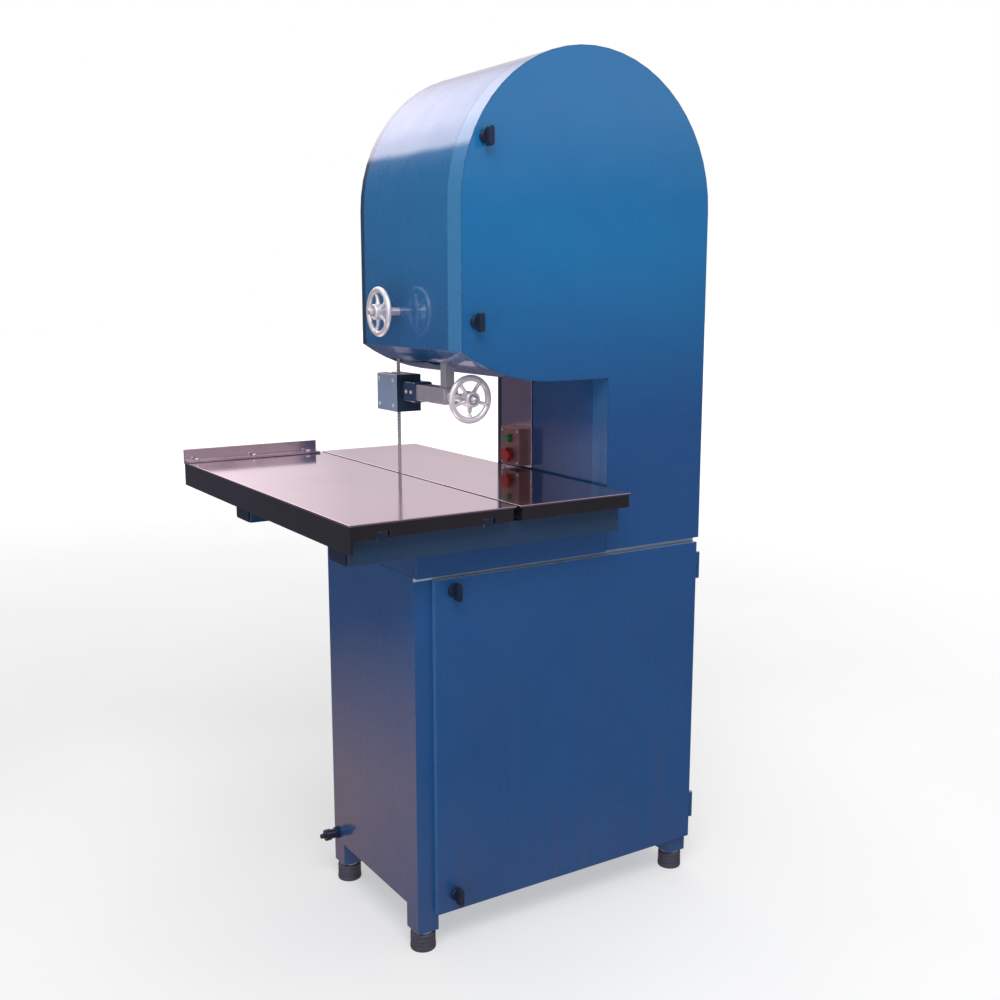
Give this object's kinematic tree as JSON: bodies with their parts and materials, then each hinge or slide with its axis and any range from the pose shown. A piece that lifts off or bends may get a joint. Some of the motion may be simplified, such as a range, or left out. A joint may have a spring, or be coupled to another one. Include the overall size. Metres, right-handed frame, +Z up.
{
  "type": "bone saw",
  "caption": "Floor-standing vertical band saw for butchers: blue cabinet and round-topped head, stainless table with sliding carriage, adjustable blade guide.",
  "frame": {"origin": "on the floor plane, under the middle of the overall bounding box", "axes": "+Z up; -Y towards the service side with the latched doors; +Y towards the operator; +X towards the column"},
  "size_m": [0.86, 0.86, 1.7],
  "materials": {
    "blue_paint": "gloss blue enamel on sheet steel",
    "navy_paint": "gloss navy enamel on a steel block",
    "black_paint": "satin black enamel",
    "stainless": "polished stainless sheet with fine grain",
    "steel": "ground bright steel",
    "cast_iron": "grey primed cast iron",
    "aluminium": "turned and polished cast aluminium",
    "rubber": "moulded black-grey rubber",
    "black_plastic": "moulded black plastic",
    "red_plastic": "moulded red plastic",
    "green_plastic": "moulded green plastic"
  },
  "bodies": {
    "root": {"cabinet_shell": "blue_paint", "upper_shell": "blue_paint", "frame_plate": "cast_iron", "front_table_beam": "blue_paint", "rear_table_beam": "blue_paint", "left_slide_rail": "stainless", "right_slide_rail": "stainless", "fixed_table_top": "stainless", "fixed_table_frame": "black_paint", "lower_bearing_housing": "cast_iron", "lower_front_bearing": "steel", "lower_rear_bearing": "steel", "motor": "blue_paint", "drive_belt": "rubber", "saw_blade": "steel", "front_left_foot": "rubber", "front_right_foot": "rubber", "rear_left_foot": "rubber", "rear_right_foot": "rubber", "post_bracket": "cast_iron", "lower_blade_guide": "steel", "switch_box": "cast_iron", "column_guard_plate": "stainless", "cable_gland": "black_plastic"},
    "lower_wheel_set": {"lower_wheel": "aluminium", "lower_shaft": "steel", "driven_pulley": "cast_iron"},
    "motor_rotor": {"motor_shaft": "steel", "motor_pulley": "cast_iron"},
    "tension_slide": {"upper_bearing_block": "cast_iron", "upper_front_bearing": "steel", "upper_rear_bearing": "steel"},
    "tension_screw": {"tension_screw": "steel"},
    "upper_wheel_set": {"upper_wheel": "aluminium", "upper_shaft": "steel"},
    "guide_post": {"guide_post": "steel", "guide_arm": "steel"},
    "post_handwheel": {"post_handwheel": "aluminium", "pinion_shaft": "steel"},
    "guide_block": {"guide_block": "navy_paint"},
    "guide_roller": {"guide_roller": "steel"},
    "feed_handwheel": {"feed_handwheel": "aluminium"},
    "carriage": {"carriage_top": "stainless", "carriage_frame": "black_paint", "carriage_fence": "stainless"},
    "start_button": {"start_button": "green_plastic"},
    "stop_button": {"stop_button": "red_plastic"},
    "front_upper_door": {"front_upper_door": "blue_paint"},
    "rear_upper_door": {"rear_upper_door": "blue_paint"},
    "front_lower_door": {"front_lower_door": "blue_paint"},
    "rear_lower_door": {"rear_lower_door": "blue_paint"},
    "front_head_upper_latch": {"front_head_upper_latch": "black_plastic"},
    "front_head_lower_latch": {"front_head_lower_latch": "black_plastic"},
    "front_cabinet_upper_latch": {"front_cabinet_upper_latch": "black_plastic"},
    "front_cabinet_lower_latch": {"front_cabinet_lower_latch": "black_plastic"},
    "rear_head_upper_latch": {"rear_head_upper_latch": "black_plastic"},
    "rear_head_lower_latch": {"rear_head_lower_latch": "black_plastic"},
    "rear_cabinet_upper_latch": {"rear_cabinet_upper_latch": "black_plastic"},
    "rear_cabinet_lower_latch": {"rear_cabinet_lower_latch": "black_plastic"}
  },
  "joints": [
    {"name": "lower_wheel_spin", "type": "hinge", "parent": "root", "child": "lower_wheel_set", "pos_m": [0.1285, 0.025, 0.42], "axis": [0, 1, 0], "continuous": true},
    {"name": "motor_spin", "type": "hinge", "parent": "root", "child": "motor_rotor", "pos_m": [-0.096, -0.255, 0.21], "axis": [0, 1, 0], "continuous": true},
    {"name": "tension_travel", "type": "slide", "parent": "root", "child": "tension_slide", "axis": [0, 0, 1], "range_m": [-0.03, 0]},
    {"name": "tension_screw_turn", "type": "hinge", "parent": "root", "child": "tension_screw", "pos_m": [0.1285, -0.07, 1.3], "axis": [0, 0, 1], "range_deg": [-3606, 0]},
    {"name": "upper_wheel_spin", "type": "hinge", "parent": "tension_slide", "child": "upper_wheel_set", "pos_m": [0.1285, 0.025, 1.4125], "axis": [0, 1, 0], "continuous": true},
    {"name": "guide_post_travel", "type": "slide", "parent": "root", "child": "guide_post", "axis": [0, 0, 1], "range_m": [-0.094, 0]},
    {"name": "post_handwheel_turn", "type": "hinge", "parent": "root", "child": "post_handwheel", "pos_m": [-0.202, -0.1, 1.217], "axis": [1, 0, 0], "range_deg": [0, 360]},
    {"name": "guide_block_feed", "type": "slide", "parent": "guide_post", "child": "guide_block", "axis": [0, 1, 0], "range_m": [-0.012, 0]},
    {"name": "feed_handwheel_turn", "type": "hinge", "parent": "guide_post", "child": "feed_handwheel", "pos_m": [-0.096, -0.263, 1.056], "axis": [0, 1, 0], "range_deg": [-1083, 0]},
    {"name": "guide_roller_spin", "type": "hinge", "parent": "guide_block", "child": "guide_roller", "pos_m": [-0.096, 0.0064, 1.05], "axis": [1, 0, 0], "continuous": true},
    {"name": "carriage_travel", "type": "slide", "parent": "root", "child": "carriage", "axis": [0, 1, 0], "range_m": [-0.4, 0]},
    {"name": "start_button_press", "type": "slide", "parent": "root", "child": "start_button", "axis": [1, 0, 0], "range_m": [0, 0.004], "stiffness_N_per_m": 400},
    {"name": "stop_button_press", "type": "slide", "parent": "root", "child": "stop_button", "axis": [1, 0, 0], "range_m": [0, 0.004], "stiffness_N_per_m": 400},
    {"name": "front_upper_door_swing", "type": "hinge", "parent": "root", "child": "front_upper_door", "pos_m": [0.424, -0.28975, 1.2], "axis": [0, 0, 1], "range_deg": [0, 110]},
    {"name": "rear_upper_door_swing", "type": "hinge", "parent": "root", "child": "rear_upper_door", "pos_m": [0.424, 0.04375, 1.2], "axis": [0, 0, 1], "range_deg": [-110, 0]},
    {"name": "front_lower_door_swing", "type": "hinge", "parent": "root", "child": "front_lower_door", "pos_m": [0.424, -0.32775, 0.4], "axis": [0, 0, 1], "range_deg": [0, 110]},
    {"name": "rear_lower_door_swing", "type": "hinge", "parent": "root", "child": "rear_lower_door", "pos_m": [0.424, 0.04775, 0.4], "axis": [0, 0, 1], "range_deg": [-110, 0]},
    {"name": "front_head_upper_latch_turn", "type": "hinge", "parent": "front_upper_door", "child": "front_head_upper_latch", "pos_m": [-0.11, -0.34, 1.523], "axis": [0, 1, 0], "range_deg": [0, 90]},
    {"name": "front_head_lower_latch_turn", "type": "hinge", "parent": "front_upper_door", "child": "front_head_lower_latch", "pos_m": [-0.13, -0.34, 1.202], "axis": [0, 1, 0], "range_deg": [0, 90]},
    {"name": "front_cabinet_upper_latch_turn", "type": "hinge", "parent": "front_lower_door", "child": "front_cabinet_upper_latch", "pos_m": [-0.18, -0.34, 0.714], "axis": [0, 1, 0], "range_deg": [0, 90]},
    {"name": "front_cabinet_lower_latch_turn", "type": "hinge", "parent": "front_lower_door", "child": "front_cabinet_lower_latch", "pos_m": [-0.18, -0.34, 0.112], "axis": [0, 1, 0], "range_deg": [0, 90]},
    {"name": "rear_head_upper_latch_turn", "type": "hinge", "parent": "rear_upper_door", "child": "rear_head_upper_latch", "pos_m": [-0.11, 0.06, 1.523], "axis": [0, 1, 0], "range_deg": [0, 90]},
    {"name": "rear_head_lower_latch_turn", "type": "hinge", "parent": "rear_upper_door", "child": "rear_head_lower_latch", "pos_m": [-0.13, 0.06, 1.202], "axis": [0, 1, 0], "range_deg": [0, 90]},
    {"name": "rear_cabinet_upper_latch_turn", "type": "hinge", "parent": "rear_lower_door", "child": "rear_cabinet_upper_latch", "pos_m": [-0.18, 0.06, 0.714], "axis": [0, 1, 0], "range_deg": [0, 90]},
    {"name": "rear_cabinet_lower_latch_turn", "type": "hinge", "parent": "rear_lower_door", "child": "rear_cabinet_lower_latch", "pos_m": [-0.18, 0.06, 0.112], "axis": [0, 1, 0], "range_deg": [0, 90]}
  ],
  "couplings": [
    {"joint": "upper_wheel_spin", "follows": "lower_wheel_spin", "ratio": 1},
    {"joint": "motor_spin", "follows": "lower_wheel_spin", "ratio": 2.7},
    {"joint": "tension_screw_turn", "follows": "tension_travel", "rad_per_m": 2094.4},
    {"joint": "post_handwheel_turn", "follows": "guide_post_travel", "rad_per_m": -66.667},
    {"joint": "feed_handwheel_turn", "follows": "guide_block_feed", "rad_per_m": 1570.8}
  ]
}
